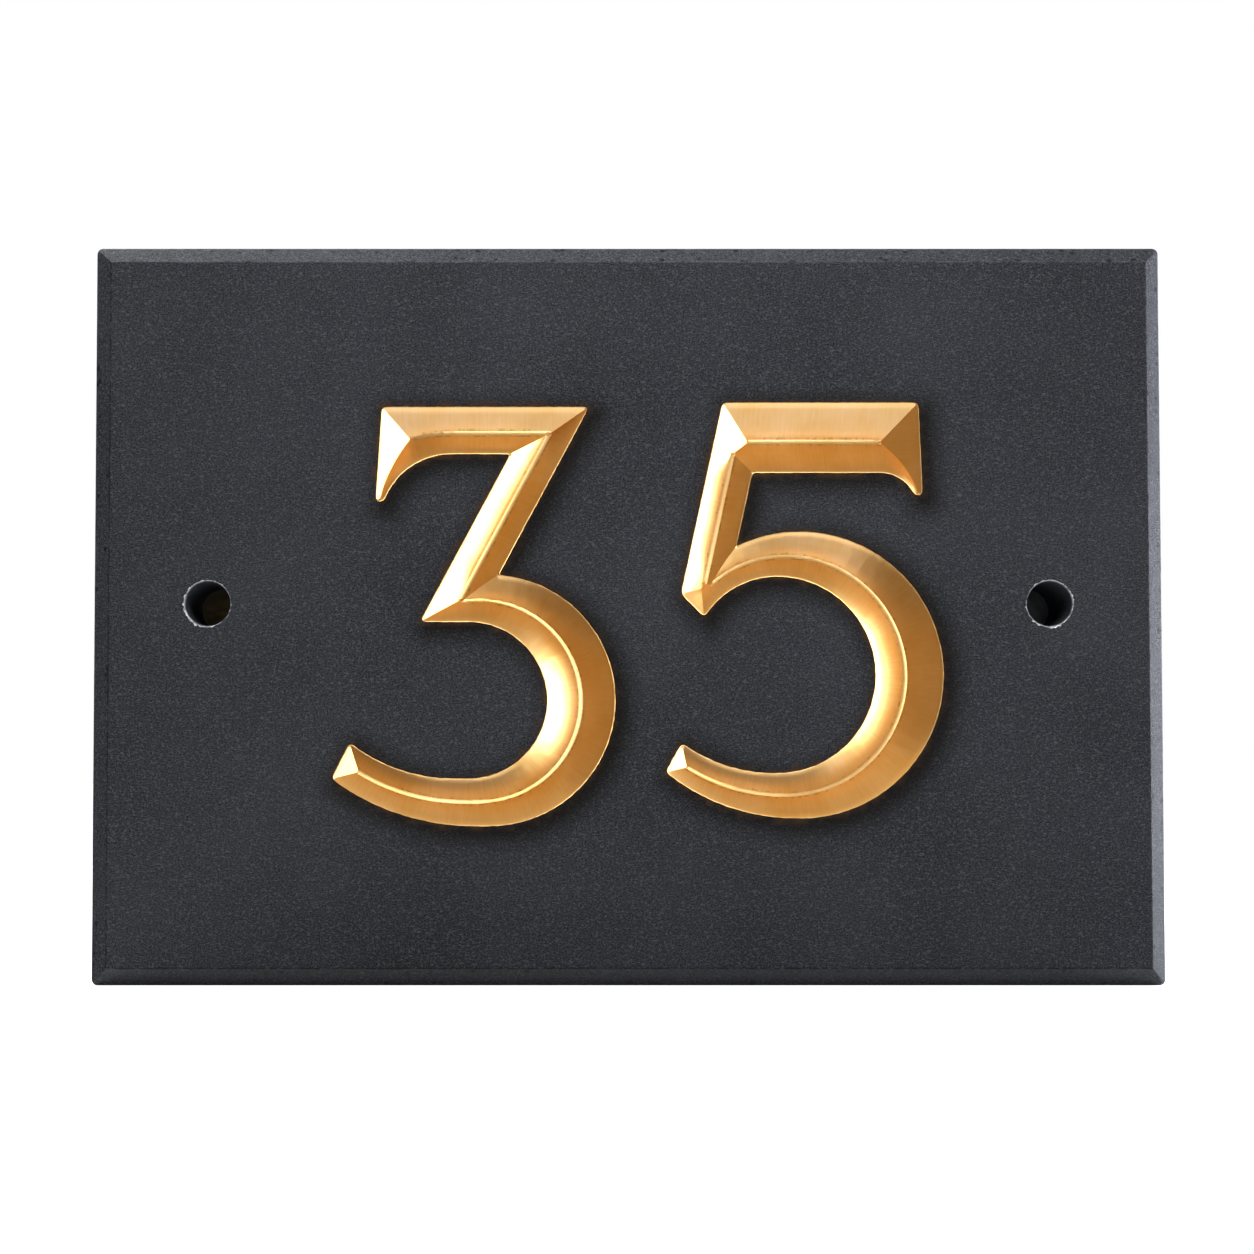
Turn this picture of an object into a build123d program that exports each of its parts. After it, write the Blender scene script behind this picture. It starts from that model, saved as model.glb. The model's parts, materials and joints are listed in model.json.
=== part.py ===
"""House number plaque: a honed slate tablet with its number V-cut into the face and gilded.

The tablet stands upright as on its wall: X runs along its width, Z up, and the face looks along -Y.
The origin is the centre of the back, in the plane of the wall.
"""

from build123d import *
import os
from math import asin, atan2, cos, degrees, hypot, radians, sin, sqrt, tan

# Driving dimensions, in millimetres and degrees

# Tablet
PLAQUE_WIDTH = 146.0
PLAQUE_HEIGHT = 101.0
PLAQUE_THICKNESS = 12.0
EDGE_BEVEL = 2.6
CORNER_RADIUS = 0.8

# Fixing holes, level with each other and a little above the middle
HOLE_DIAMETER = 6.0
HOLE_INSET = 16.0
HOLE_RISE = 1.3

# V-cut and its gilding
V_ANGLE = 105.0
GILDING_THICKNESS = 0.12

# Figure three, measured from the centre of its bowl's outer circle
THREE_X = -18.8
THREE_Z = -11.8
THREE_TOP = 39.75
THREE_BAR_STROKE = 6.25
THREE_BAR_LEFT = -14.65
THREE_BAR_RIGHT = 13.3
THREE_SERIF_DROP = 12.75
THREE_SERIF_SPREAD = 0.8
THREE_SERIF_RADIUS = 9.8
THREE_SERIF_RUN = 9.4
THREE_DIAGONAL_STROKE = 6.2
THREE_FOOT_X = -9.3
THREE_BOWL_RADIUS = 16.9
THREE_COUNTER_RADIUS = 10.7
THREE_COUNTER_SHIFT = 2.85
THREE_BOWL_FLAT = 2.0
THREE_TAIL_RADIUS = 32.4
THREE_TAIL_COUNTER_RADIUS = 22.8
THREE_TAIL_REACH = 21.25
THREE_TAIL_END_ANGLE = 63.0

# Figure five, measured the same way
FIVE_X = 23.15
FIVE_Z = -8.35
FIVE_TOP = 36.9
FIVE_BAR_STROKE = 9.4
FIVE_BAR_LEFT = -10.35
FIVE_BAR_RIGHT = 16.1
FIVE_SERIF_DROP = 12.5
FIVE_SERIF_SPREAD = 0.5
FIVE_SERIF_RADIUS = 5.1
FIVE_SERIF_RUN = 5.1
FIVE_STEM_STROKE = 5.8
FIVE_STEM_LEAN = 12.3
FIVE_STEM_FOOT = 11.0
FIVE_STEM_END_ANGLE = 45.0
FIVE_BOWL_RADIUS = 19.3
FIVE_COUNTER_RADIUS = 13.4
FIVE_COUNTER_SHIFT = 3.1
FIVE_SHOULDER_RADIUS = 11.55
FIVE_BOWL_FLAT = 0.5
FIVE_TAIL_RADIUS = 28.2
FIVE_TAIL_COUNTER_RADIUS = 21.2
FIVE_TAIL_REACH = 18.1
FIVE_TAIL_END_ANGLE = 61.0

# Worked out from those
FACE = Plane(origin=(0, -PLAQUE_THICKNESS, 0), x_dir=(1, 0, 0), z_dir=(0, -1, 0))
WALL_FALL = 1 / tan(radians(V_ANGLE / 2))
GILDING_DROP = GILDING_THICKNESS / sin(radians(V_ANGLE / 2))
CUT_PROUD = EDGE_BEVEL / 2
SPAN = PLAQUE_HEIGHT


# Walls of a V-cut. The figures are drawn in the plane of the face, with the stone below it.
# Every wall falls away from its edge at the same slope, so straight edges have flat walls,
# round edges have conical ones, and strokes that meet are mitred by themselves.

def wall_plane(point, heading):
    """Wall under a straight edge, where the stroke lies to the left of the heading."""
    left = radians(heading + 90)
    return Plane(origin=(point[0], point[1], 0), z_dir=(cos(left), sin(left), 1 / WALL_FALL))


def stroke_side(point, heading):
    """All that lies on the stroke's side of a straight edge's wall."""
    block = Box(2 * SPAN, 2 * SPAN, SPAN, align=(Align.CENTER, Align.CENTER, Align.MIN))
    return wall_plane(point, heading) * block


def stone_side(point, heading):
    """All that lies behind a straight edge's wall."""
    block = Box(2 * SPAN, 2 * SPAN, SPAN, align=(Align.CENTER, Align.CENTER, Align.MAX))
    return wall_plane(point, heading) * block


def hollow_cone(centre, radius):
    """The cut inside a round outer edge: it narrows with depth."""
    depth = radius * WALL_FALL
    top = radius + CUT_PROUD / WALL_FALL
    cone = Cone(0, top, depth + CUT_PROUD, align=(Align.CENTER, Align.CENTER, Align.MIN))
    return Pos(centre[0], centre[1], -depth) * cone


def stone_cone(centre, radius):
    """The stone left inside a round inner edge: it widens with depth."""
    depth = SPAN * WALL_FALL / 2
    base = radius + depth / WALL_FALL
    tip = radius * WALL_FALL
    cone = Cone(base, 0, depth + tip, align=(Align.CENTER, Align.CENTER, Align.MIN))
    return Pos(centre[0], centre[1], -depth) * cone


def zone(left=-SPAN, right=SPAN, low=-SPAN, high=SPAN):
    """The part of the face between these limits, through the depth of any cut."""
    block = Box(right - left, high - low, SPAN + CUT_PROUD, align=(Align.MIN, Align.MIN, Align.MAX))
    return Pos(left, low, CUT_PROUD) * block


def bowl_lower_half(bowl, counter, shift, flat, tail, tail_counter, reach, end_angle):
    """Lower half of a figure's bowl: round at the right, then a flat, then a slacker tail."""
    outer = hollow_cone((0, 0), bowl) & zone(left=0, high=0)
    outer += stroke_side((0, -bowl), 0) & zone(left=-flat, right=0, high=0)
    outer += hollow_cone((-flat, tail - bowl), tail) & zone(right=-flat, high=0)
    inner = stone_cone((-shift, 0), counter) & zone(left=-shift)
    inner += stone_side((-shift, -counter), 180) & zone(left=-shift - flat, right=-shift)
    inner += stone_cone((-shift - flat, tail_counter - counter), tail_counter) & zone(right=-shift - flat)
    end_z = tail - bowl - sqrt(tail ** 2 - (reach - flat) ** 2)
    return (outer & stroke_side((-reach, end_z), end_angle + 180)) - inner


def cut_three():
    """Figure three: a bar with a hanging serif, a diagonal, and a bowl that ends in a tail."""
    bar_low = THREE_TOP - THREE_BAR_STROKE
    foot = THREE_COUNTER_RADIUS
    serif_x = THREE_BAR_LEFT + THREE_SERIF_RUN
    rise = THREE_TOP - foot
    run = THREE_BAR_RIGHT - THREE_FOOT_X
    lean = degrees(atan2(rise, run) + asin(THREE_DIAGONAL_STROKE / hypot(rise, run)))
    serif_lean = degrees(atan2(THREE_SERIF_SPREAD, THREE_SERIF_DROP))

    top = stroke_side((0, THREE_TOP), 180)
    diagonal_right = stroke_side((THREE_BAR_RIGHT, THREE_TOP), lean)
    diagonal_left = stroke_side((THREE_FOOT_X, foot), lean + 180)
    serif_left = stroke_side((THREE_BAR_LEFT, THREE_TOP), 270 - serif_lean)
    serif_tip = stroke_side((0, THREE_TOP - THREE_SERIF_DROP), 0)

    bar = zone() & top & diagonal_right & serif_left & serif_tip
    bar -= stone_side((0, bar_low), 0) & zone(left=serif_x)
    bar -= stone_cone((serif_x, bar_low - THREE_SERIF_RADIUS), THREE_SERIF_RADIUS) & zone(right=serif_x)

    diagonal = zone() & top & diagonal_right & diagonal_left & stroke_side((0, foot), 0)

    counter_x = -THREE_COUNTER_SHIFT
    bowl = hollow_cone((0, 0), THREE_BOWL_RADIUS) & zone(low=0) & diagonal_left
    bowl -= stone_cone((counter_x, 0), THREE_COUNTER_RADIUS) & zone(left=counter_x)
    bowl -= stone_side((0, foot), 0) & zone(right=counter_x)

    tail = bowl_lower_half(
        THREE_BOWL_RADIUS, THREE_COUNTER_RADIUS, THREE_COUNTER_SHIFT, THREE_BOWL_FLAT,
        THREE_TAIL_RADIUS, THREE_TAIL_COUNTER_RADIUS, THREE_TAIL_REACH, THREE_TAIL_END_ANGLE,
    )
    return Pos(THREE_X, THREE_Z, 0) * (bar + diagonal + bowl + tail)


def cut_five():
    """Figure five: a deep bar with a serif, a leaning stem, and a bowl that ends in a tail."""
    bar_low = FIVE_TOP - FIVE_BAR_STROKE
    serif_x = FIVE_BAR_RIGHT - FIVE_SERIF_RUN
    serif_lean = degrees(atan2(FIVE_SERIF_SPREAD, FIVE_SERIF_DROP))
    stem_heading = 90 - FIVE_STEM_LEAN
    stem_across = FIVE_STEM_STROKE / cos(radians(FIVE_STEM_LEAN))
    foot_x = FIVE_BAR_LEFT - (FIVE_TOP - FIVE_STEM_FOOT) * tan(radians(FIVE_STEM_LEAN))

    top = stroke_side((0, FIVE_TOP), 180)
    stem_left = stroke_side((FIVE_BAR_LEFT, FIVE_TOP), stem_heading + 180)
    stem_right = stroke_side((FIVE_BAR_LEFT + stem_across, FIVE_TOP), stem_heading)
    stem_end = stroke_side((foot_x, FIVE_STEM_FOOT), -FIVE_STEM_END_ANGLE)
    serif_right = stroke_side((FIVE_BAR_RIGHT, FIVE_TOP), 90 + serif_lean)
    serif_tip = stroke_side((0, FIVE_TOP - FIVE_SERIF_DROP), 0)

    bar = zone() & top & stem_left & serif_right & serif_tip
    bar -= stone_side((0, bar_low), 0) & zone(right=serif_x)
    bar -= stone_cone((serif_x, bar_low - FIVE_SERIF_RADIUS), FIVE_SERIF_RADIUS) & zone(left=serif_x)

    counter_x = -FIVE_COUNTER_SHIFT
    shoulder_z = FIVE_COUNTER_RADIUS - FIVE_SHOULDER_RADIUS
    shoulder = stone_cone((counter_x, shoulder_z), FIVE_SHOULDER_RADIUS) & zone(right=counter_x)

    stem = zone() & top & stem_left & stem_right & stem_end
    stem -= shoulder

    bowl = hollow_cone((0, 0), FIVE_BOWL_RADIUS) & zone(low=0) & stem_left & stem_end
    bowl -= stone_cone((counter_x, 0), FIVE_COUNTER_RADIUS) & zone(left=counter_x)
    bowl -= shoulder

    tail = bowl_lower_half(
        FIVE_BOWL_RADIUS, FIVE_COUNTER_RADIUS, FIVE_COUNTER_SHIFT, FIVE_BOWL_FLAT,
        FIVE_TAIL_RADIUS, FIVE_TAIL_COUNTER_RADIUS, FIVE_TAIL_REACH, FIVE_TAIL_END_ANGLE,
    )
    return Pos(FIVE_X, FIVE_Z, 0) * (bar + stem + bowl + tail)


def gilding(cut):
    """Film of gold size and leaf that lines a cut up to the face."""
    below_face = Box(2 * SPAN, 2 * SPAN, SPAN, align=(Align.CENTER, Align.CENTER, Align.MAX))
    return (cut - Pos(0, 0, GILDING_DROP) * cut) & below_face


def tablet():
    """Slate block with bevelled front edges, eased corners and two fixing holes."""
    block = Box(PLAQUE_WIDTH, PLAQUE_HEIGHT, PLAQUE_THICKNESS, align=(Align.CENTER, Align.CENTER, Align.MAX))
    block = chamfer(block.faces().sort_by(Axis.Z)[-1].edges(), EDGE_BEVEL)
    eased = extrude(RectangleRounded(PLAQUE_WIDTH, PLAQUE_HEIGHT, CORNER_RADIUS), -PLAQUE_THICKNESS)
    hole_x = PLAQUE_WIDTH / 2 - HOLE_INSET
    hole = Cylinder(HOLE_DIAMETER / 2, 2 * PLAQUE_THICKNESS + CUT_PROUD)
    holes = [Pos(side * hole_x, HOLE_RISE, 0) * hole for side in (-1, 1)]
    return (block & eased) - holes


def export(name, shape):
    """Write one sub-part, set upright with its face along -Y."""
    export_step(FACE.location * shape, f"parts/{name}.step")


os.makedirs("parts", exist_ok=True)
three = cut_three()
five = cut_five()
export("slate_tablet", tablet() - three - five)
export("gilding_three", gilding(three))
export("gilding_five", gilding(five))
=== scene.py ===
"""Looks of the house number plaque: a honed slate tablet with a V-cut, gilded number.

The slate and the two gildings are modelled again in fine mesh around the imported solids, which give
every size and place: worn arrises, chipped hole rims, a narrow hollow along the roots of the cuts,
and leaf that laps their edges.
"""

import json
import math

import bmesh
import bpy
import numpy as np
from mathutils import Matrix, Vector, noise
from mathutils.bvhtree import BVHTree
from mathutils.geometry import delaunay_2d_cdt


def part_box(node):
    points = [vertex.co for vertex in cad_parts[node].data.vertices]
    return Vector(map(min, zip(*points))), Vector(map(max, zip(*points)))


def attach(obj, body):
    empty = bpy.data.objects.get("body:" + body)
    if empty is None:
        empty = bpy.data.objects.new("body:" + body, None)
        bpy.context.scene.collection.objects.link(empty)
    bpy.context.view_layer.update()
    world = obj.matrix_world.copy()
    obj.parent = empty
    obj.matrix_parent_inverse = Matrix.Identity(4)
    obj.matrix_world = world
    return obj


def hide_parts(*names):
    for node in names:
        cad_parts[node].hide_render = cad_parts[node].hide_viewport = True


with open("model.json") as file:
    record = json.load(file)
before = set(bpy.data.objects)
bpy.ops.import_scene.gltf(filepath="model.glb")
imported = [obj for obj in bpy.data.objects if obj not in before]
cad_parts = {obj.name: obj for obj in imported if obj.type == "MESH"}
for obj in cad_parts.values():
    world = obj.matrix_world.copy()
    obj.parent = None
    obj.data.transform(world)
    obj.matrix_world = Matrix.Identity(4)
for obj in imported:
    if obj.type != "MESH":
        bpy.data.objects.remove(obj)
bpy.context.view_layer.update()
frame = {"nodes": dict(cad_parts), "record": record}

MM = 0.001
TINY = 1e-6
PLAN = [0, 2]
INSIDE_TRIANGLES = 1
SQUARE = ((-1, -1), (1, -1), (1, 1), (-1, 1))

# The tablet, as packed
SLATE = frame["nodes"]["slate_tablet"]
LOW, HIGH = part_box("slate_tablet")
FACE_Y = LOW.y
BACK_Y = HIGH.y
HALF_WIDTH = HIGH.x
HALF_HEIGHT = HIGH.z
FACE_REACH = max(v.co.x for v in SLATE.data.vertices if abs(v.co.y - FACE_Y) < TINY)
BEVEL = HALF_WIDTH - FACE_REACH
HOLES = [m for m in frame["record"]["mounts"] if m["kind"] == "bore"]
FIGURES = ("gilding_three", "gilding_five")

# Mesh fineness
RIM_STEP = 0.7 * MM
FACE_STEP = 1.0 * MM
BACK_STEP = 4 * FACE_STEP
OUTLINE_STEP = 0.25 * MM
GILDING_STEP = 0.26 * MM
GILDING_CLEAR = 0.6 * GILDING_STEP
RIDGE_STEP = 0.7 * GILDING_STEP
CORNER_STEPS = 6
HOLE_STEPS = 120
SLATE_SHARP = math.radians(38)
LEAF_SHARP = math.radians(16)

# Edges of the slate
FACE_MARGIN = 0.9 * MM
ARRIS = 0.08 * MM
CORNER_RADIUS = 0.8 * MM
FACE_CORNER_RADIUS = 0.06 * MM
ARRIS_WANDER = 0.05 * MM
WEAR_SIZE = 3 * MM
FINE_WEAR_SIZE = 0.9 * MM
FINE_WEAR = 0.6
FACE_LEVELS = 7
FACE_LINE = 1.4 * ARRIS
# Strength of the painted highlight along the face's arris on the top and right sides
FACE_LINE_HIGHLIGHT = 0.7
EDGE_LINE = 2 * ARRIS
LINE_CORE = 1.4

# Rims of the holes, with how much is chipped at each depth below the face
CHIP_LEVELS = [
    (0, 1.1),
    (0.015 * MM, 1),
    (0.12 * MM, 0.75),
    (0.3 * MM, 0.35),
    (0.55 * MM, 0.1),
    (0.9 * MM, 0),
]
BORE_LEVELS = (0.25, 0.4, 0.55, 0.7, 0.85)
BACK_CHIPS = 1.6
CHIP_LEAST = 0.09 * MM
COARSE_CHIP = 0.22 * MM
COARSE_CHIP_SCALE = 2.2
FINE_CHIP = 0.60 * MM
FINE_CHIP_SCALE = 11
BROKEN_LEAST = 0.4
BROKEN_SIDE = Vector((-0.7, 0, -0.7))
BORE_WANDER = 0.02 * MM
BORE_WANDER_SCALE = 14
HOLE_SEED = 3
CHIP_DEPTH = 5 * MM
PALE_STARTS = 0.03 * MM
PALE_FADE = 0.12 * MM
PALE_REACH = 1.2 * MM
FACE_SKIN = 0.01 * MM
# How far the painted shade in the bores reaches from their walls, and over what depth it sets in
BORE_SHADE_SLACK = 0.1 * MM
BORE_SHADE_FADE = 0.8 * MM

# Gilding
FILM = 0.08 * MM
LAP = 0.10 * MM
LAP_WANDER = 0.5
LAP_WANDER_SIZE = 0.8 * MM
LAP_SEED = 3 * MM
LIP = 0.012 * MM
SMOOTH_PASSES = 2
CORNER_PASSES = 6
RIDGE_ANGLE = math.radians(12)
STROKE_JUMP = 4 * GILDING_STEP

# Narrow hollow along the roots of the cuts
ROOT_ANGLE = math.radians(25)
ROOT_WIDTH = 0.62 * MM
ROOT_STEP = 0.15 * MM
ROOT_LANES = (-1, -0.6, -0.2, 0.2, 0.6, 1)
NARROW_LANES = (-1, 0, 1)
ROOT_HOLLOW = math.radians(8)
ROOT_EDGE = 0.07 * MM
WIDE_ROOT = 3 * ROOT_EDGE
ROOT_STARTS = 1.4 * MM
ROOT_FULL = 2.6 * MM
SEAM_CLEAR = 0.9 * ROOT_EDGE
MITRE_FALL = 0.3

# Tool marks across the strokes
TOOL_DEPTH = 0.005 * MM
TOOL_WIDTH = 1.7 * MM
TOOL_LENGTH = 9 * MM
TOOL_FADE = 0.5 * MM
TOOL_CLEAR = 1.2 * MM

# Painted shadow on the slate to the lower right of the figures, and a painted glow of light from the gold at
# their left
PAINTED_SHADOW_SHIFT = (0.9 * MM, -0.9 * MM)
PAINTED_SHADOW_REACH = 3.6 * MM
PAINTED_SHADOW_FALL = 1.3
PAINTED_GLOW_SHIFT = (-0.3 * MM, 0)
PAINTED_GLOW_REACH = 0.6 * MM

# Colours of the slate
SLATE_DARK = (0.0125, 0.0137, 0.0166, 1)
SLATE_PALE = (0.069, 0.0716, 0.0816, 1)
# The dark threads are copies of the pale ones, painted just below them as painted shade
PAINTED_THREAD_SHADE = (0.014, 0.017, 0.020, 1)
PALE_THREAD = (0.112, 0.116, 0.128, 1)
THREAD_SHADE = (0, 0, 0.22 * MM)
MICA = (0.16, 0.165, 0.175, 1)
PIT = (0.008, 0.008, 0.010, 1)
# Painted light: paler colour for surfaces that face down
PAINTED_LIGHT_BELOW = (0.12, 0.123, 0.132, 1)
# Pale wear on the outer and back edges, and painted highlight on the face's arris
PALE_WEAR_AND_HIGHLIGHT = (0.13, 0.135, 0.145, 1)
# Painted shade on the face's arris at the lower left
PAINTED_ARRIS_SHADE = (0.012, 0.012, 0.013, 1)
# Painted shadow to the lower right of the figures
PAINTED_SHADOW = (0.010, 0.008, 0.006, 1)
# Painted glow of light from the gold at the figures' left
PAINTED_GOLD_GLOW = (0.11, 0.055, 0.020, 1)
CHIP = (0.86, 0.88, 0.90, 1)
# Painted shade deep in the bores
BORE_SHADE = (0.030, 0.036, 0.046, 1)

# Colours of the leaf
LEAF_DEEP = (0.90, 0.53, 0.17, 1)
LEAF_PALE = (1.0, 0.67, 0.31, 1)
LEAF_PIT = (0.10, 0.05, 0.02, 1)
# Painted shade in the crease beside the root
SEAM_SHADE = (0.16, 0.08, 0.02, 1)

# Boards that show through the holes, with each one's colour, side in shade and strength of grain
WALL_GAP = 0.05 * MM
WALL_RADIUS = 3.3 * MM
WALL_STEPS = 64
WALL_SHADE = 0.1
WALLS = [
    ((1.0, 0.72, 0.30, 1), -3.2 * MM, 0.6),
    ((0.95, 0.96, 1.05, 1), 3.2 * MM, 0.15),
]

# Camera and light
CAMERA_AT = (-10 * MM, -240 * MM, -20 * MM)
CAMERA_PITCH = 1.712
CAMERA_LENS = 48.50
CAMERA_SHIFT = (0.0575, 0.0665)
CAMERA_NEAR = 10 * MM
CARD_DISTANCE = 0.8
FLOOR_REACH = 2
FLOOR_GLOW = 0.95
WHITE = (1, 1, 1, 1)
BLACK = (0, 0, 0, 1)
FLOOR_GREY = (0.8, 0.8, 0.8, 1)
WORLD_LEVEL = 0.05


# Meshes

def add_object(name, data):
    """A new object in the scene."""
    obj = bpy.data.objects.new(name, data)
    bpy.context.scene.collection.objects.link(obj)
    return obj


def solid_piece(name, bm, material, sharp):
    """Turn a bmesh into an object with smooth shading that breaks where it folds past an angle."""
    mesh = bpy.data.meshes.new(name)
    bm.to_mesh(mesh)
    bm.free()
    mesh.polygons.foreach_set("use_smooth", [True] * len(mesh.polygons))
    mesh.set_sharp_from_angle(angle=sharp)
    mesh.materials.append(material)
    return add_object(name, mesh)


def store(obj, name, values):
    """Keep one number for each vertex, for the material to read."""
    layer = obj.data.attributes.new(name, "FLOAT", "POINT")
    layer.data.foreach_set("value", np.asarray(values, np.float32))


def cut_walls(node):
    """The slate's own V-cut walls under one figure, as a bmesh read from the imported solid."""
    low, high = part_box(node)
    bm = bmesh.new()
    bm.from_mesh(SLATE.data)
    bmesh.ops.remove_doubles(bm, verts=bm.verts, dist=TINY)
    others = []
    for face in bm.faces:
        centre = face.calc_center_median()
        within = low.x - TINY < centre.x < high.x + TINY and low.z - TINY < centre.z < high.z + TINY
        on_face = all(abs(v.co.y - FACE_Y) < TINY for v in face.verts)
        on_back = centre.y > high.y + MM
        if not within or on_face or on_back:
            others.append(face)
    bmesh.ops.delete(bm, geom=others, context="FACES")
    return bm


def edge_loop(bm):
    """The open edge of a sheet, as vertices in order."""
    follow = {}
    for edge in bm.edges:
        if len(edge.link_faces) == 1:
            loop = edge.link_loops[0]
            follow[loop.vert] = loop.link_loop_next.vert
    start = next(iter(follow))
    ring = [start]
    while follow[ring[-1]] is not start:
        ring.append(follow[ring[-1]])
    return ring


def split_long_edges(bm, step):
    """Divide the open edges of a sheet until none is longer than the step."""
    for edge in [e for e in bm.edges if len(e.link_faces) == 1]:
        cuts = math.ceil(edge.calc_length() / step) - 1
        if cuts > 0:
            bmesh.ops.bisect_edges(bm, edges=[edge], cuts=cuts)


def ridge_points(bm, step):
    """Places along the ridges that stand between two cuts, where the walls fold away from each other."""
    found = []
    for edge in bm.edges:
        if len(edge.link_faces) == 2 and edge.calc_face_angle_signed() > RIDGE_ANGLE:
            first, last = edge.verts
            count = max(1, round(edge.calc_length() / step))
            for number in range(count + 1):
                place = first.co.lerp(last.co, number / count)
                found.append((place.x, place.z))
    return np.array(found).reshape(-1, 2)


def root_points(bm, step):
    """Places on the narrow hollow along the roots of a cut, as x, depth and z, with those beside it."""
    hollow = []
    beside = []
    for edge in bm.edges:
        if len(edge.link_faces) != 2 or edge.calc_face_angle_signed() > -ROOT_ANGLE:
            continue
        normal = edge.link_faces[0].normal
        fall = math.hypot(normal.x, normal.z) / abs(normal.y)
        first, last = (v.co for v in edge.verts)
        run = last - first
        across = Vector((-run.z, 0, run.x)).normalized()
        level = max(0, 1 - abs(run.y) / math.hypot(run.x, run.z) / MITRE_FALL)
        count = max(1, round(run.length / step))
        for number in range(count + 1):
            place = first.lerp(last, number / count)
            reach = (place.y - FACE_Y) / fall
            half = ROOT_WIDTH / 2 * min(max((reach - ROOT_STARTS) / (ROOT_FULL - ROOT_STARTS), 0), level)
            raised = Vector((place.x, place.y - half * fall, place.z))
            if half < ROOT_EDGE:
                hollow.append(raised)
                continue
            beside += [raised + (half + ROOT_EDGE) * across, raised - (half + ROOT_EDGE) * across]
            sag = half * math.tan(ROOT_HOLLOW) / 2
            for lane in ROOT_LANES if half > WIDE_ROOT else NARROW_LANES:
                hollow.append(raised + lane * half * across + Vector((0, sag * (1 - lane * lane), 0)))
    return thinned(hollow, ROOT_EDGE), thinned(beside, ROOT_EDGE)


def thinned(places, gap):
    """The places without those that crowd an earlier one."""
    taken = set()
    kept = []
    for place in places:
        cell = (round(place.x / gap), round(place.z / gap))
        if cell not in taken:
            taken.add(cell)
            kept.append(place)
    return np.array(kept).reshape(-1, 3)


def plan(verts):
    """Places on the face as an array of x and z."""
    return np.array([(v.co.x, v.co.z) for v in verts])


def inside(points, ring):
    """Which of the points lie inside a closed ring."""
    found = np.zeros(len(points), bool)
    for (ax, az), (bx, bz) in zip(ring, np.roll(ring, -1, axis=0)):
        if az == bz:
            continue
        spans = (points[:, 1] < az) != (points[:, 1] < bz)
        crossing = ax + (points[:, 1] - az) * (bx - ax) / (bz - az)
        found ^= spans & (points[:, 0] < crossing)
    return found


def nearest_on_ring(points, ring):
    """Distance from each point to a closed ring, and how far along the ring that place is."""
    step = np.roll(ring, -1, axis=0) - ring
    length = np.hypot(step[:, 0], step[:, 1])
    start = np.concatenate(([0], np.cumsum(length)[:-1]))
    distance = np.full(len(points), np.inf)
    along = np.zeros(len(points))
    for origin, run, size, begin in zip(ring, step, length, start):
        offset = points - origin
        t = np.clip((offset @ run) / size ** 2, 0, 1)
        gap = np.hypot(*(offset - t[:, None] * run).T)
        closer = gap < distance
        distance[closer] = gap[closer]
        along[closer] = begin + t[closer] * size
    return distance, along


def distances(points, others):
    """How near the nearest of the others is to each point."""
    return np.array([np.hypot(others[:, 0] - x, others[:, 1] - z).min() for x, z in points])


def hex_grid(low, high, step):
    """Evenly spread points over a rectangle."""
    rows = []
    row_step = step * math.sqrt(3) / 2
    for number in range(int((high[1] - low[1]) / row_step) + 1):
        start = low[0] + (number % 2) * step / 2
        xs = np.arange(start, high[0], step)
        rows.append(np.stack([xs, np.full(len(xs), low[1] + number * row_step)], 1))
    return np.concatenate(rows)


def triangulate(points, rings):
    """Triangles between points, keeping the edges of rings given as lists of point numbers."""
    edges = []
    for ring in rings:
        edges += list(zip(ring, ring[1:] + ring[:1]))
    made = delaunay_2d_cdt([Vector(p) for p in points], edges, [], INSIDE_TRIANGLES, TINY * MM)
    triangles, sources = made[2:4]
    return np.array([[sources[i][0] for i in triangle] for triangle in triangles])


def join_rings(bm, rings):
    """Four-sided faces from each ring of vertices to the next."""
    for first, second in zip(rings, rings[1:]):
        for a, b, c, d in zip(first, first[1:] + first[:1], second[1:] + second[:1], second):
            bm.faces.new((a, d, c, b))


# Slate

def rounded_ring(inset, radius):
    """A rounded rectangle inside the tablet's outline, with matching points at every inset."""
    half_x = HALF_WIDTH - inset
    half_z = HALF_HEIGHT - inset
    along_x = round(2 * HALF_WIDTH / RIM_STEP)
    along_z = round(2 * HALF_HEIGHT / RIM_STEP)
    ring = []
    corners = [(1, -1, -90), (1, 1, 0), (-1, 1, 90), (-1, -1, 180)]
    for number, (side_x, side_z, turn) in enumerate(corners):
        centre = Vector((side_x * (half_x - radius), side_z * (half_z - radius)))
        for step in range(CORNER_STEPS + 1):
            angle = math.radians(turn + 90 * step / CORNER_STEPS)
            ring.append(centre + radius * Vector((math.cos(angle), math.sin(angle))))
        next_x, next_z, next_turn = corners[(number + 1) % 4]
        goal = Vector((next_x * (half_x - radius), next_z * (half_z - radius)))
        goal += radius * Vector((math.cos(math.radians(next_turn)), math.sin(math.radians(next_turn))))
        count = along_z if side_x == next_x else along_x
        begin = ring[-1]
        ring += [begin.lerp(goal, step / count) for step in range(1, count)]
    return ring


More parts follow.
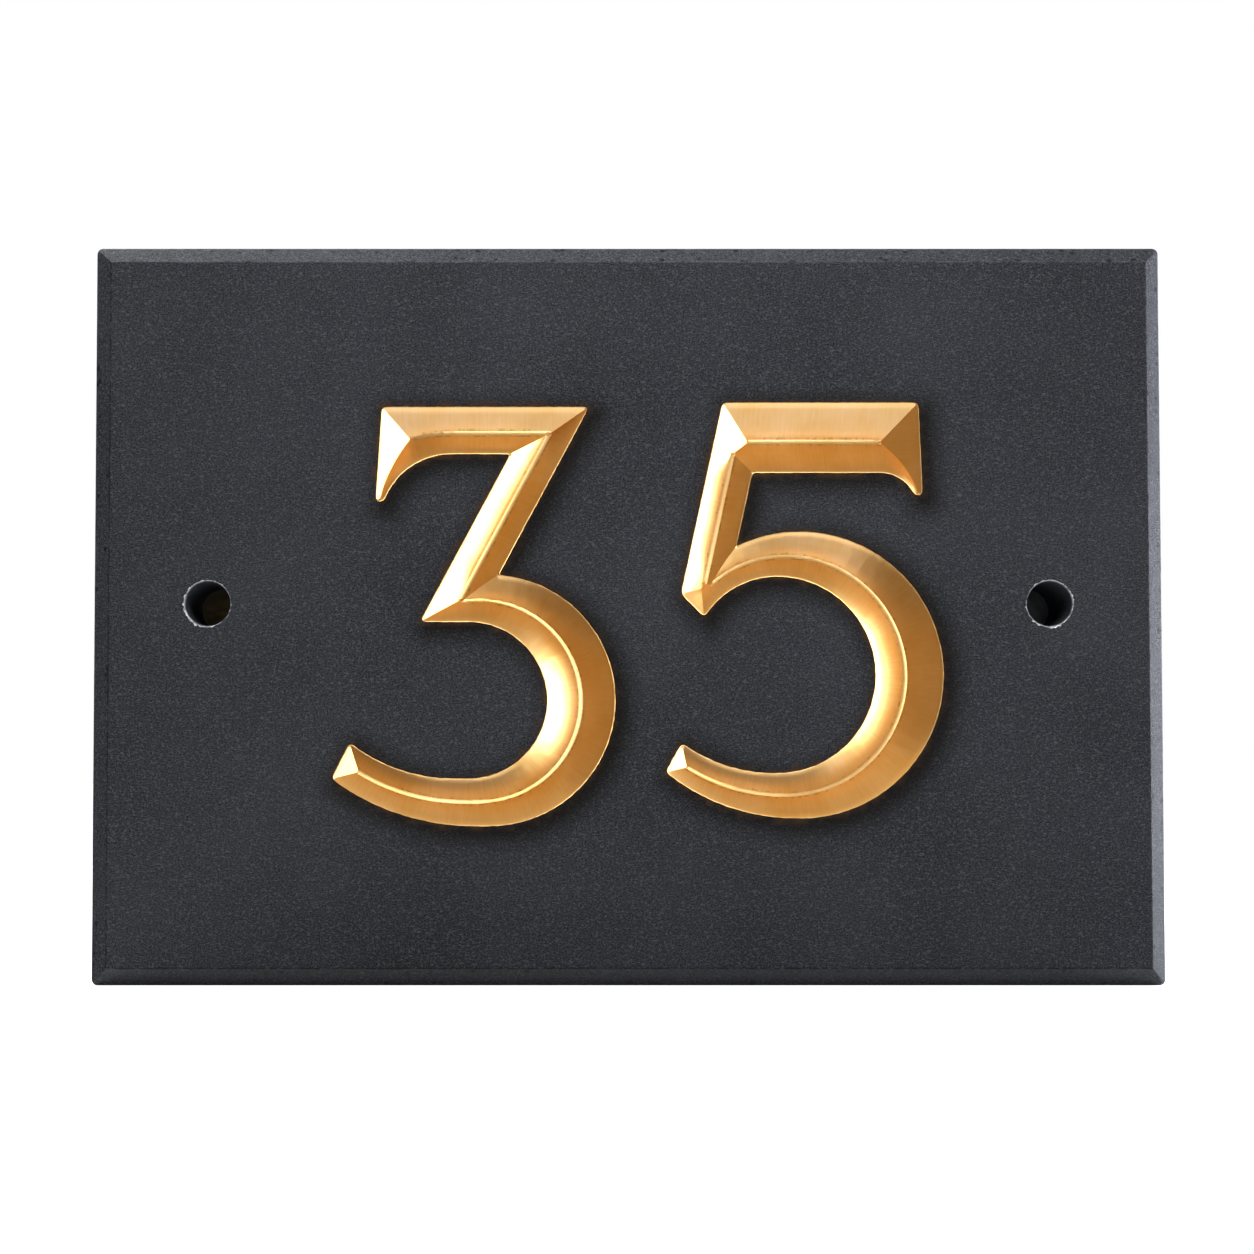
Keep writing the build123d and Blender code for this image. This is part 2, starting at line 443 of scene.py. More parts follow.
def slate_rim(bm):
    """Bevel, sides and arrises of the tablet, as rings from the face round to the back.

    Each row of the profile is a ring's inset, its y, the radius of its corners and how worn it is.
    """
    outer_y = FACE_Y + BEVEL
    profile = [
        (BEVEL + FACE_MARGIN, FACE_Y, FACE_CORNER_RADIUS, 0),
        (BEVEL + 2.5 * ARRIS, FACE_Y, FACE_CORNER_RADIUS, 0),
        (BEVEL + ARRIS, FACE_Y, FACE_CORNER_RADIUS, 0.4),
        (BEVEL + 0.2 * ARRIS, FACE_Y + 0.2 * ARRIS, FACE_CORNER_RADIUS, 0.8),
        (BEVEL - 0.7 * ARRIS, FACE_Y + 0.7 * ARRIS, FACE_CORNER_RADIUS, 1),
        (BEVEL - 2.2 * ARRIS, FACE_Y + 2.2 * ARRIS, FACE_CORNER_RADIUS, 0.3),
        (BEVEL / 2, FACE_Y + BEVEL / 2, 2 * FACE_CORNER_RADIUS, 0.3),
        (3 * ARRIS, outer_y - 3 * ARRIS, CORNER_RADIUS / 2, 0.3),
        (0.8 * ARRIS, outer_y - 0.8 * ARRIS, CORNER_RADIUS, 0.7),
        (0.2 * ARRIS, outer_y + 0.3 * ARRIS, CORNER_RADIUS, 0.7),
        (0, outer_y + 1.2 * ARRIS, CORNER_RADIUS, 0.2),
        (0, outer_y + 2.6 * ARRIS, CORNER_RADIUS, 0),
        (0, (outer_y + BACK_Y) / 2, CORNER_RADIUS, 0),
        (0, BACK_Y - 4 * ARRIS, CORNER_RADIUS, 0),
        (0, BACK_Y - 2.5 * ARRIS, CORNER_RADIUS, 0.2),
        (0.6 * ARRIS, BACK_Y - 0.9 * ARRIS, CORNER_RADIUS, 0.8),
        (2 * ARRIS, BACK_Y, CORNER_RADIUS, 0.8),
        (3.5 * ARRIS, BACK_Y, CORNER_RADIUS, 0),
        (FACE_MARGIN, BACK_Y, CORNER_RADIUS, 0),
    ]
    rings = []
    for level, (inset, y, radius, unevenness) in enumerate(profile):
        ring = []
        for place in rounded_ring(inset, radius):
            spot = Vector((place.x, place.y, (level >= FACE_LEVELS) * MM))
            worn = noise.noise(spot / WEAR_SIZE) + FINE_WEAR * noise.noise(spot / FINE_WEAR_SIZE)
            inward = -place.normalized() * abs(worn) * unevenness * ARRIS_WANDER
            ring.append(bm.verts.new((place.x + inward.x, y, place.y + inward.y)))
        rings.append(ring)
    join_rings(bm, rings)
    return rings[0], rings[-1]


def drilled_hole(bm, mount, number):
    """A drilled hole with rims chipped by the drill, most at the lower left. Returns both its rims."""
    radius = mount["dims"]["r_mm"] * MM
    centre_x, _, centre_z = mount["pos_m"]
    profile = [(FACE_Y + depth, chip) for depth, chip in CHIP_LEVELS]
    profile += [(FACE_Y + (BACK_Y - FACE_Y) * share, 0) for share in BORE_LEVELS]
    profile += [(BACK_Y - depth, BACK_CHIPS * chip) for depth, chip in reversed(CHIP_LEVELS)]
    rings = []
    for y, chip in profile:
        ring = []
        for step in range(HOLE_STEPS):
            angle = 2 * math.pi * step / HOLE_STEPS
            way = Vector((math.cos(angle), HOLE_SEED * number + y / CHIP_DEPTH, math.sin(angle)))
            coarse = 0.5 + 0.5 * noise.noise(way * COARSE_CHIP_SCALE)
            fine = 0.5 + 0.5 * noise.noise(way * FINE_CHIP_SCALE)
            broken = BROKEN_LEAST + (1 - BROKEN_LEAST) * max(0, way.dot(BROKEN_SIDE))
            reach = radius + chip * (CHIP_LEAST + broken * (COARSE_CHIP * coarse + FINE_CHIP * fine ** 3))
            reach += BORE_WANDER * noise.noise(way * BORE_WANDER_SCALE)
            ring.append(bm.verts.new((centre_x + reach * way.x, y, centre_z + reach * way.z)))
        rings.append(ring)
    join_rings(bm, rings)
    return rings[0], rings[-1]


def fill_flat(bm, outer, openings, step):
    """Close a flat face between an outer ring and the rings of its openings."""
    rings = [outer] + openings
    verts = [v for ring in rings for v in ring]
    y = outer[0].co.y
    outline = plan(outer)
    grid = hex_grid(outline.min(0), outline.max(0), step)
    keep = inside(grid, outline)
    for ring in rings:
        gap, _ = nearest_on_ring(grid, plan(ring))
        keep &= gap > step / 2
    for ring in openings:
        keep &= ~inside(grid, plan(ring))
    verts += [bm.verts.new((x, y, z)) for x, z in grid[keep]]
    numbers = []
    first = 0
    for ring in rings:
        numbers.append(list(range(first, first + len(ring))))
        first += len(ring)
    corners = triangulate(plan(verts), numbers)
    centres = plan(verts)[corners].mean(1)
    solid = np.ones(len(corners), bool)
    for ring in openings:
        solid &= ~inside(centres, plan(ring))
    for corner in corners[solid]:
        bm.faces.new([verts[i] for i in corner])


def slate_piece(material):
    """The slate tablet."""
    bm = bmesh.new()
    figure_rings = []
    for node in FIGURES:
        walls = cut_walls(node)
        split_long_edges(walls, FACE_STEP)
        twin = {v: bm.verts.new(v.co) for v in walls.verts if v.link_faces}
        for face in walls.faces:
            bm.faces.new([twin[v] for v in face.verts])
        figure_rings.append([twin[v] for v in edge_loop(walls)])
        walls.free()
    outlines = [plan(ring) for ring in figure_rings]
    face_ring, back_ring = slate_rim(bm)
    rims = [drilled_hole(bm, mount, number) for number, mount in enumerate(HOLES)]
    fill_flat(bm, face_ring, figure_rings + [front for front, _ in rims], FACE_STEP)
    fill_flat(bm, back_ring, [back for _, back in rims], BACK_STEP)
    bmesh.ops.recalc_face_normals(bm, faces=bm.faces)
    obj = solid_piece("slate", bm, material, SLATE_SHARP)
    places = np.array([v.co for v in obj.data.vertices])
    mark_figures(obj, places, outlines)
    mark_holes(obj, places)
    mark_arrises(obj, places)
    return obj


def mark_figures(obj, places, outlines):
    """Where painted shadow lies on the slate to the lower right of the figures, and a painted glow of gold
    light at their left.
    """
    on_face = places[:, 1] < FACE_Y / 2

    def nearness(shift, reach):
        points = places[:, PLAN] - np.array(shift)
        near = np.zeros(len(points))
        for ring in outlines:
            gap, _ = nearest_on_ring(points, ring)
            gap[inside(points, ring)] = 0
            near = np.maximum(near, np.clip(1 - gap / reach, 0, 1))
        return near * on_face

    store(obj, "painted_shadow", nearness(PAINTED_SHADOW_SHIFT, PAINTED_SHADOW_REACH) ** PAINTED_SHADOW_FALL)
    # The size mask holds the painted glow of gold light at the figures' left
    store(obj, "size", nearness(PAINTED_GLOW_SHIFT, PAINTED_GLOW_REACH))


def mark_holes(obj, places):
    """Where the drill broke the rims of the holes, and where painted shade darkens their bores with depth."""
    chipped = np.zeros(len(places))
    bore = np.zeros(len(places))
    depth = np.minimum(places[:, 1] - FACE_Y, BACK_Y - places[:, 1])
    for mount in HOLES:
        x, _, z = mount["pos_m"]
        away = np.hypot(places[:, 0] - x, places[:, 2] - z) - mount["dims"]["r_mm"] * MM
        near_rim = np.clip((away - PALE_STARTS) / PALE_FADE, 0, 1) * (away < PALE_REACH)
        off_face = np.clip(depth / FACE_SKIN, 0, 1)
        chipped = np.maximum(chipped, near_rim * off_face)
        # Painted shade in the bores, growing with depth
        bore = np.maximum(bore, (away < BORE_SHADE_SLACK) * np.clip(depth / BORE_SHADE_FADE, 0, 1))
    store(obj, "chipped", chipped)
    store(obj, "bore", bore)


def mark_arrises(obj, places):
    """Pale wear on the tablet's outer and back edges, and painted highlight and shade on the face's arris."""
    from_side = HALF_WIDTH - np.abs(places[:, 0])
    from_end = HALF_HEIGHT - np.abs(places[:, 2])
    inset = np.minimum(from_side, from_end)
    lower_left = np.where(from_side < from_end, places[:, 0] < 0, places[:, 2] < 0)

    def line(line_inset, line_y, width):
        gap = np.hypot(inset - line_inset, places[:, 1] - line_y)
        return np.clip(LINE_CORE - gap / width, 0, 1)

    face_line = line(BEVEL, FACE_Y, FACE_LINE)
    edge_lines = np.maximum(line(0, FACE_Y + BEVEL, EDGE_LINE), line(0, BACK_Y, EDGE_LINE))
    # The worn mask holds real wear on the outer and back edges, and painted highlight on the face's arris at
    # the top and right
    store(obj, "worn", np.maximum(FACE_LINE_HIGHLIGHT * face_line * ~lower_left, edge_lines))
    # Painted shade on the face's arris at the lower left
    store(obj, "arris_shade", face_line * lower_left)


# Gilding

def leaf_rings(ring):
    """The edge of a cut with its tips a little rounded, anticlockwise, and the line that the leaf laps to."""
    for _ in range(CORNER_PASSES):
        ring = (np.roll(ring, 1, axis=0) + 2 * ring + np.roll(ring, -1, axis=0)) / 4
    if np.sum(ring[:, 0] * np.roll(ring[:, 1], -1) - np.roll(ring[:, 0], -1) * ring[:, 1]) < 0:
        ring = ring[::-1]
    tangent = np.roll(ring, -1, axis=0) - np.roll(ring, 1, axis=0)
    tangent /= np.hypot(*tangent.T)[:, None]
    outward = np.stack([tangent[:, 1], -tangent[:, 0]], 1)
    uneven = np.array([noise.noise(Vector((x, z, LAP_SEED)) / LAP_WANDER_SIZE) for x, z in ring])
    return ring, ring + outward * (LAP * (1 + LAP_WANDER * uneven))[:, None]


def clear_of_edge(points, ring):
    """Which points lie inside a ring and not too near to it."""
    return (nearest_on_ring(points, ring)[0] > GILDING_CLEAR) & inside(points, ring)


def smoothed(places, corners, fixed):
    """Relax all but the fixed first points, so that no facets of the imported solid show."""
    a = np.concatenate([corners[:, 0], corners[:, 1], corners[:, 2]])
    b = np.concatenate([corners[:, 1], corners[:, 2], corners[:, 0]])
    starts = np.concatenate([a, b])
    ends = np.concatenate([b, a])
    count = np.maximum(np.bincount(starts, minlength=len(places)), 1)[:, None]
    made = places.copy()
    for _ in range(SMOOTH_PASSES):
        total = np.zeros_like(made)
        np.add.at(total, starts, made[ends])
        made[fixed:] += 0.5 * (total / count - made)[fixed:]
    return made


def tool_marks(points, gap, along, roots):
    """Shallow marks of the chisel across the stroke, fading at its edge and its root."""
    waves = [noise.noise(Vector((s / TOOL_WIDTH, d / TOOL_LENGTH, 0))) for s, d in zip(along, gap)]
    fade = np.clip(gap / TOOL_FADE, 0, 1) * np.clip(distances(points, roots) / TOOL_CLEAR, 0, 1)
    return TOOL_DEPTH * np.array(waves) * fade


def map_strokes(bm, faces, corners, places, ring, gap, along):
    """Map the leaf in millimetres along its edge and in from it, with no face across the map's seam."""
    stroke = bm.loops.layers.uv.new("stroke")
    total = np.hypot(*(np.roll(ring, -1, axis=0) - ring).T).sum()
    _, middle = nearest_on_ring(places[corners].mean(1)[:, PLAN], ring)
    for face, corner, own in zip(faces, corners, middle):
        for loop, i in zip(face.loops, corner):
            s = along[i] + round((own - along[i]) / total) * total
            if abs(s - own) > STROKE_JUMP:
                s = own
            loop[stroke].uv = (s / MM, gap[i] / MM)


def gilding_piece(node, material):
    """Leaf that lines one figure's cut, lapping its edge a little."""
    walls = cut_walls(node)
    tree = BVHTree.FromBMesh(walls)
    ridge = ridge_points(walls, RIDGE_STEP)
    hollow, beside = root_points(walls, ROOT_STEP)
    split_long_edges(walls, OUTLINE_STEP)
    ring, lapped = leaf_rings(plan(edge_loop(walls)))
    walls.free()

    ridge = ridge[clear_of_edge(ridge, ring)]
    hollow = hollow[clear_of_edge(hollow[:, PLAN], ring)]
    beside = beside[clear_of_edge(beside[:, PLAN], ring)]
    beside = beside[distances(beside[:, PLAN], hollow[:, PLAN]) > SEAM_CLEAR]
    lines = np.concatenate([ridge, hollow[:, PLAN], beside[:, PLAN]])
    grid = hex_grid(ring.min(0), ring.max(0), GILDING_STEP)
    grid = grid[clear_of_edge(grid, ring)]
    grid = grid[distances(grid, lines) > GILDING_CLEAR]

    count = len(ring)
    first_line = 2 * count
    first_hollow = first_line + len(ridge)
    first_beside = first_hollow + len(hollow)
    first_grid = first_beside + len(beside)
    points = np.concatenate([lapped, ring, lines, grid])
    corners = triangulate(points, [list(range(count)), list(range(count, first_line))])
    corners = corners[inside(points[corners].mean(1), lapped)]

    wall = np.full(len(points), FACE_Y)
    for number in range(first_line, len(points)):
        x, z = points[number]
        wall[number] = tree.ray_cast(Vector((x, FACE_Y - MM, z)), Vector((0, 1, 0)))[0].y
    y = wall - FILM
    y[:count] = FACE_Y - LIP / 4
    y[count:first_line] = FACE_Y - LIP
    y[first_hollow:first_beside] = np.minimum(hollow[:, 1], wall[first_hollow:first_beside]) - FILM
    places = smoothed(np.stack([points[:, 0], y, points[:, 1]], 1), corners, first_grid)
    gap, along = nearest_on_ring(places[:, PLAN], ring)
    roots = places[first_hollow:first_grid, PLAN]
    places[:, 1] += tool_marks(places[:, PLAN], gap, along, roots)
    seam = np.zeros(len(points))
    seam[first_beside:first_grid] = 1

    used = np.unique(corners)
    bm = bmesh.new()
    verts = {i: bm.verts.new(places[i]) for i in used}
    under = {i: bm.verts.new((places[i][0], wall[i], places[i][2])) for i in used}
    faces = [bm.faces.new([verts[i] for i in corner]) for corner in corners]
    map_strokes(bm, faces, corners, places, ring, gap, along)
    for corner in corners:
        bm.faces.new([under[i] for i in reversed(corner)])
    for i in range(count):
        j = (i + 1) % count
        bm.faces.new((verts[i], under[i], under[j], verts[j]))
    bmesh.ops.recalc_face_normals(bm, faces=bm.faces)
    obj = solid_piece(node.replace("gilding", "leaf"), bm, material, LEAF_SHARP)
    store(obj, "seam", np.concatenate([seam[used], seam[used]]))
    return obj


# Materials

class Nodes:
    """The node tree of a material or a world, built one node at a time."""

    def __init__(self, owner, shader="Principled BSDF"):
        owner.use_nodes = True
        self.owner = owner
        self.tree = owner.node_tree
        self.shader = self.tree.nodes[shader]

    def fill(self, socket, value):
        """Link an input to an output, or set its value."""
        if isinstance(value, bpy.types.NodeSocket):
            self.tree.links.new(value, socket)
        else:
            socket.default_value = value

    def set(self, **inputs):
        """Fill the shader's inputs, with underscores for spaces."""
        for key, value in inputs.items():
            self.fill(self.shader.inputs[key.replace("_", " ")], value)
        return self.owner

    def add(self, kind, values=None, **settings):
        """Add a node, set its properties and fill its inputs. Returns its outputs."""
        node = self.tree.nodes.new(kind)
        for key, value in settings.items():
            setattr(node, key, value)
        for key, value in (values or {}).items():
            self.fill(node.inputs[key], value)
        return node.outputs

    def noise(self, place, scale, detail=2.0, roughness=0.5):
        """Fractal noise, from 0 to 1."""
        values = {"Vector": place, "Scale": scale, "Detail": detail, "Roughness": roughness}
        return self.add("ShaderNodeTexNoise", values)["Fac"]

    def stretched(self, place, scale):
        """A place scaled along its axes."""
        return self.add("ShaderNodeMapping", {"Vector": place, "Scale": scale})["Vector"]

    def threads(self, place, patch):
        """Short bent threads, where a noise passes its middle and another one lets them show."""
        level = self.math("ABSOLUTE", self.math("SUBTRACT", self.noise(place, 1700, 1), 0.5), 0)
        shown = self.span(self.noise(patch, 2600, 1), 0.44, 0.60)
        return self.math("MULTIPLY", self.span(level, 0.08, 0.02), shown)

    def dots(self, place, scale, shown, edge):
        """Scattered round dots in the cells whose value passes a span, with an edge over a span."""
        cells = self.add("ShaderNodeTexVoronoi", {"Vector": place, "Scale": scale})
        return self.math("MULTIPLY", self.span(cells["Color"], *shown), self.span(cells["Distance"], *edge))

    def span(self, value, low, high, to_low=0.0, to_high=1.0):
        """Map a span of a value to another span, clamped."""
        values = {"Value": value, "From Min": low, "From Max": high, "To Min": to_low, "To Max": to_high}
        return self.add("ShaderNodeMapRange", values)["Result"]

    def math(self, operation, first, second):
        """One sum of two values."""
        return self.add("ShaderNodeMath", {0: first, 1: second}, operation=operation)[0]

    def mixed(self, first, first_share, second, second_share):
        """Two values added, each by its share."""
        first = self.math("MULTIPLY", first, first_share)
        return self.math("ADD", first, self.math("MULTIPLY", second, second_share))

    def blend(self, share, first, second):
        """One colour into another by a share."""
        values = {"Factor": share, 6: first, 7: second}
        return self.add("ShaderNodeMix", values, data_type="RGBA")[2]

    def cover(self, colour, other, share, most):
        """A colour with another one over it, by a share of the most that it covers."""
        return self.blend(self.math("MULTIPLY", share, most), colour, other)

    def attribute(self, name):
        """A number kept on the mesh."""
        return self.add("ShaderNodeAttribute", attribute_name=name)["Fac"]

    def bump(self, height, strength, distance):
        """A bump from a height."""
        values = {"Height": height, "Strength": strength, "Distance": distance}
        return self.add("ShaderNodeBump", values)["Normal"]

    def seen(self):
        """One where the camera sees it, also in metal or through glass, and nothing where it only lights."""
        path = self.add("ShaderNodeLightPath")
        sharp = self.math("MAXIMUM", path["Is Camera Ray"], path["Is Glossy Ray"])
        return self.math("MAXIMUM", sharp, path["Is Transmission Ray"])


def slate_material():
    """Honed slate: near-black, with fine grain, faint clouds, short threads with painted shade just under
    each, and pale mica specks.

    Its bevels are pitted, and the lower one is painted paler as painted light from below. The mesh marks
    where its edges are worn or take painted highlight and shade, where painted shadow and a painted
    glow lie beside the figures, where it is chipped, and where its bores take painted shade.
    """
    n = Nodes(bpy.data.materials.new("slate"))
    spot = n.add("ShaderNodeTexCoord")
    place = spot["Object"]
    clouds = n.noise(place, 45, 3)
    grain = n.noise(place, 5000, 2, 0.6)
    mottle = n.noise(place, 700, 2)
    lying = n.stretched(place, (1.0, 1.0, 2.2))
    # The dark threads are the pale ones moved just below, as painted shade under each thread
    below = n.add("ShaderNodeVectorMath", {0: lying, 1: THREAD_SHADE})["Vector"]
    pale = n.threads(lying, place)
    thread_shade = n.threads(below, place)
    tone = n.mixed(clouds, 0.15, grain, 0.85)
    colour = n.blend(n.span(tone, 0.37, 0.63), SLATE_DARK, SLATE_PALE)
    colour = n.cover(colour, PAINTED_THREAD_SHADE, thread_shade, 0.85)
    colour = n.cover(colour, PALE_THREAD, pale, 0.8)
    colour = n.cover(colour, MICA, n.dots(place, 900, (0.93, 0.96), (0.32, 0.12)), 0.6)

    tilt = n.add("ShaderNodeSeparateXYZ", {"Vector": spot["Normal"]})
    bevel = n.math("MULTIPLY", n.span(tilt["Y"], -0.95, -0.8), n.span(tilt["Y"], -0.3, -0.5, 0, 0.8))
    colour = n.cover(colour, PIT, n.dots(place, 620, (0.60, 0.64), (0.30, 0.14)), bevel)
    # Painted light: surfaces that face down are painted paler, as if lit from below
    colour = n.blend(n.span(tilt["Z"], -0.3, -0.6, 0, 0.3), colour, PAINTED_LIGHT_BELOW)

    # Pale wear on the outer edges, and painted highlight on the face's arris
    worn = n.math("MULTIPLY", n.attribute("worn"), n.span(n.noise(place, 600, 3, 0.6), 0.42, 0.62))
    colour = n.cover(colour, PALE_WEAR_AND_HIGHLIGHT, worn, 0.7)
    # Painted shade on the face's arris at the lower left
    arris_shade = n.math("MULTIPLY", n.attribute("arris_shade"), n.span(n.noise(place, 900, 3, 0.6), 0.35, 0.55))
    colour = n.cover(colour, PAINTED_ARRIS_SHADE, arris_shade, 0.8)
    # Painted shadow to the lower right of the figures
    colour = n.cover(colour, PAINTED_SHADOW, n.attribute("painted_shadow"), 0.86)
    # Painted glow of light from the gold at the figures' left
    size = n.math("MULTIPLY", n.attribute("size"), n.span(n.noise(place, 500, 2), 0.35, 0.65))
    colour = n.cover(colour, PAINTED_GOLD_GLOW, size, 0.6)
    colour = n.cover(colour, CHIP, n.attribute("chipped"), n.span(n.noise(place, 1900, 3), 0.35, 0.6, 0.3, 1))
    # Painted shade, darker deeper in the bores
    colour = n.cover(colour, BORE_SHADE, n.attribute("bore"), 0.6)

    relief = n.mixed(grain, 0.7, mottle, 0.5)
    height = n.mixed(relief, 1.0, n.math("SUBTRACT", pale, thread_shade), 0.25)
    rough = n.span(n.mixed(grain, 1.0, mottle, 0.5), 0.4, 1.1, 0.55, 0.75)
    normal = n.bump(height, 1.0, 0.10 * MM)
    return n.set(Base_Color=colour, Roughness=rough, Normal=normal, Specular_IOR_Level=0.02)


def gold_material():
    """Gold leaf over hand-cut stone: warm and a little uneven, with fine marks across the stroke.

    It has a few pits, and dark dashes of painted shade in the crease where the mesh marks the seam beside the
    root.
    """
    n = Nodes(bpy.data.materials.new("gold_leaf"))
    place = n.add("ShaderNodeTexCoord")["Object"]
    stroke = n.add("ShaderNodeUVMap", uv_map="stroke")["UV"]
    marks = n.noise(n.stretched(stroke, (1.0, 0.08, 1.0)), 4.0, 3, 0.5)
    grain = n.noise(place, 1500, 3, 0.6)
    leaf = n.noise(place, 160, 3, 0.55)
    tone = n.mixed(marks, 0.35, leaf, 0.65)
    colour = n.blend(n.span(tone, 0.32, 0.68), LEAF_DEEP, LEAF_PALE)
    colour = n.cover(colour, LEAF_PIT, n.dots(place, 420, (0.955, 0.97), (0.16, 0.08)), 0.8)
    # Painted shade: dark dashes in the crease beside the root
    dashes = n.span(n.noise(n.stretched(stroke, (1.0, 0.3, 1.0)), 0.9, 4, 0.7), 0.50, 0.60)
    colour = n.cover(colour, SEAM_SHADE, n.math("MULTIPLY", n.attribute("seam"), dashes), 0.5)
    rough = n.span(tone, 0.3, 0.7, 0.28, 0.305)
    normal = n.bump(n.mixed(marks, 0.04, grain, 0.02), 0.35, 0.05 * MM)
    return n.set(Base_Color=colour, Metallic=1.0, Roughness=rough, Normal=normal)


def floor_material():
    """Pale floor that reads white and still takes a shadow."""
    n = Nodes(bpy.data.materials.new("floor"))
    glow = n.math("MULTIPLY", n.seen(), FLOOR_GLOW)
    n.set(Base_Color=FLOOR_GREY, Roughness=0.9)
    return n.set(Emission_Color=WHITE, Emission_Strength=glow)


def wall_material(colour, shaded, grain):
    """Board behind a hole, with painted shade towards one side and the top.

    It is one-sided, so that it leaves the back open to view.
    """
    n = Nodes(bpy.data.materials.new("wall"))
    place = n.add("ShaderNodeTexCoord")["Object"]
    spot = n.add("ShaderNodeSeparateXYZ", {"Vector": place})
    streaks = n.noise(n.stretched(place, (1.0, 4.0, 1.0)), 320, 3)
    lit = n.math("MULTIPLY", n.span(spot["Y"], 2 * MM, -2 * MM), n.span(spot["X"], shaded, 0.1 * shaded))
    lit = n.math("MULTIPLY", lit, n.span(streaks, 0.4, 0.6, 1 - grain, 1))
    dim = tuple(WALL_SHADE * value for value in colour[:3]) + (1,)
    n.set(Base_Color=n.blend(lit, dim, colour), Roughness=0.8)
    clear = n.add("ShaderNodeBsdfTransparent")["BSDF"]
    behind = n.add("ShaderNodeNewGeometry")["Backfacing"]
    front = n.shader.outputs["BSDF"]
    surface = n.add("ShaderNodeMixShader", {0: behind, 1: front, 2: clear})["Shader"]
    n.fill(n.tree.nodes["Material Output"].inputs["Surface"], surface)
    return n.owner


def card_material(name):
    """A glow in the colours that a card's corners hold."""
    n = Nodes(bpy.data.materials.new(name))
    shade = n.add("ShaderNodeAttribute", attribute_name="shade")["Color"]
    n.set(Base_Color=BLACK, Roughness=1.0, Specular_IOR_Level=0.0)
    n.owner.cycles.emission_sampling = "NONE"
    return n.set(Emission_Color=shade, Emission_Strength=1.0)


# Stage

def panel(name, centre, facing, corners, material):
    """A flat sheet of the stage, facing a direction."""
    mesh = bpy.data.meshes.new(name)
    mesh.from_pydata([(x, y, 0) for x, y in corners], [], [range(len(corners))])
    mesh.materials.append(material)
    obj = add_object(name, mesh)
    obj.location = centre
    obj.rotation_euler = Vector(facing).to_track_quat("Z", "Y").to_euler()
    return obj


def card(name, around, out, span, near, far, away=CARD_DISTANCE):
    """A card outside the picture that shows only in what shines, shaded from the face's plane outwards.

    Its direction is an angle round the face, from the right, and an angle out of the face's plane. Its
    span is how wide and how deep it looks from the face. All four are in degrees.
    """
    a = math.radians(around)
    e = math.radians(out)
    centre = away * Vector((math.cos(e) * math.cos(a), -math.sin(e), math.cos(e) * math.sin(a)))
    sideways = away * math.tan(math.radians(span[0] / 2)) * Vector((-math.sin(a), 0, math.cos(a)))
    outwards = Vector((-math.sin(e) * math.cos(a), -math.cos(e), -math.sin(e) * math.sin(a)))
    outwards *= away * math.tan(math.radians(span[1] / 2))
    mesh = bpy.data.meshes.new(name)
    mesh.from_pydata([centre + x * sideways + y * outwards for x, y in SQUARE], [], [(0, 1, 2, 3)])
    mesh.materials.append(card_material(name))
    shades = mesh.color_attributes.new("shade", "FLOAT_COLOR", "POINT")
    for corner, colour in zip(shades.data, (near, near, far, far)):
        corner.color = (*colour, 1)
    obj = add_object(name, mesh)
    obj.visible_camera = False
    obj.visible_diffuse = False
    obj.visible_shadow = False


def area_light(name, centre, aim, size, radiance, in_metal=True, colour=(1, 1, 1)):
    """A soft box, as bright as its radiance, that shows in the metal or only lights."""
    data = bpy.data.lights.new(name, "AREA")
    data.shape = "RECTANGLE"
    data.size, data.size_y = size
    data.energy = radiance * math.pi * size[0] * size[1]
    data.color = colour
    obj = add_object(name, data)
    obj.location = centre
    obj.rotation_euler = (Vector(centre) - Vector(aim)).to_track_quat("Z", "Y").to_euler()
    obj.visible_camera = False
    obj.visible_glossy = in_metal


def world_light(strength):
    """White surroundings, seen white by the camera and by metal, and softer as light."""
    n = Nodes(bpy.data.worlds.new("studio"), "Background")
    bpy.context.scene.world = n.set(Color=WHITE, Strength=n.span(n.seen(), 0, 1, strength, 1))


def camera():
    """The photograph's view: nearly square on, from a little below and left of the middle."""
    data = bpy.data.cameras.new("camera")
    data.lens = CAMERA_LENS
    data.shift_x, data.shift_y = CAMERA_SHIFT
    data.clip_start = CAMERA_NEAR
    obj = add_object("camera", data)
    obj.location = CAMERA_AT
    obj.rotation_euler = (math.radians(90 + CAMERA_PITCH), 0, 0)
    bpy.context.scene.camera = obj


slate = slate_piece(slate_material())
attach(slate, "root")
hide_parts("slate_tablet")

gold = gold_material()
for figure in FIGURES:
    leaf = gilding_piece(figure, gold)
    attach(leaf, "root")
    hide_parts(figure)

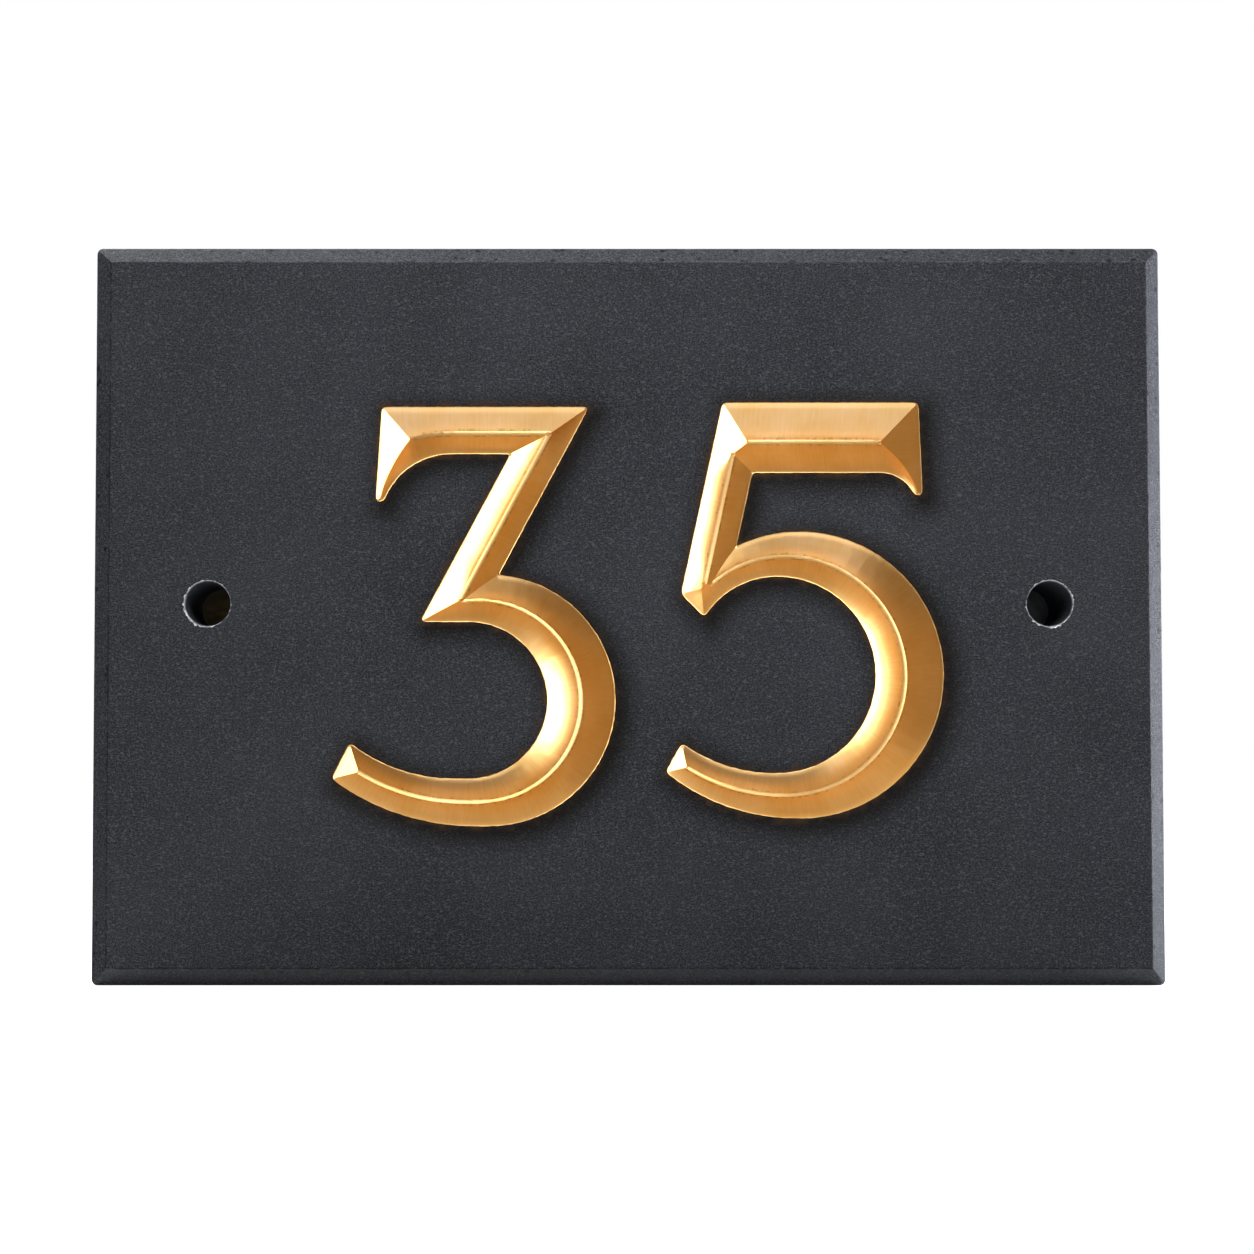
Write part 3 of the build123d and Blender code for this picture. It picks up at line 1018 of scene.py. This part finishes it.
floor_corners = [(FLOOR_REACH * x, FLOOR_REACH * y) for x, y in SQUARE]
floor = panel("floor", (0, 0, LOW.z), (0, 0, 1), floor_corners, floor_material())
floor.visible_glossy = False
turns = [2 * math.pi * i / WALL_STEPS for i in range(WALL_STEPS)]
disc = [(WALL_RADIUS * math.cos(turn), WALL_RADIUS * math.sin(turn)) for turn in turns]
for mount, (colour, shaded, grain) in zip(HOLES, WALLS):
    x, _, z = mount["pos_m"]
    board = wall_material(colour, shaded, grain)
    panel("wall_behind_" + mount["name"], (x, WALL_GAP, z), (0, -1, 0), disc, board)
card("card_left", 190, 25, (110, 60), (0.46, 0.29, 0.13), (0.26, 0.17, 0.09))
card("card_low_left", 228, 24, (40, 48), (0.22, 0.15, 0.08), (0.22, 0.15, 0.08))
card("card_top", 90, 25, (80, 60), (0.10, 0.045, 0.0), (1.1, 0.88, 0.62))
card("card_low", 270, 6, (70, 42), (0.26, 0.21, 0.17), (0.18, 0.14, 0.11))
card("card_floor", 272, 39, (34, 22), (1.5, 1.5, 1.7), (1.5, 1.5, 1.7))
card("card_right", -2, 20, (60, 46), (7, 7, 7), (5, 5, 5))
card("card_front", 90, 90, (84, 76), (0.34, 0.32, 0.29), (0.34, 0.32, 0.29))
card("card_middle", 315, 87, (15, 15), (6, 6, 6), (6, 6, 6), away=0.75)
card("card_behind", 180, -32, (120, 60), (0.05, 0.05, 0.05), (0.05, 0.05, 0.05))
area_light("key", (1.39, -0.56, 0.12), (0, 0, 0), (1.2, 0.9), 0.6, in_metal=False)
area_light("rim_right", (0.3, 0.09, -0.09), (0, 0, 0), (0.1, 0.3), 94, colour=(0.94, 0.97, 1.04))
area_light("rim_top", (-0.16, 0.06, 0.25), (0, 0, 0.03), (0.1, 0.1), 34)
area_light("top", (-0.04, -0.03, 0.27), (-0.04, -0.03, -0.05), (0.2, 0.03), 14, in_metal=False)
area_light("fill", (0.01, -0.15, 0.17), (0, 0, 0), (0.2, 0.12), 4.7, in_metal=False)
world_light(WORLD_LEVEL)
camera()

scene = bpy.context.scene
scene.view_settings.view_transform = "Standard"
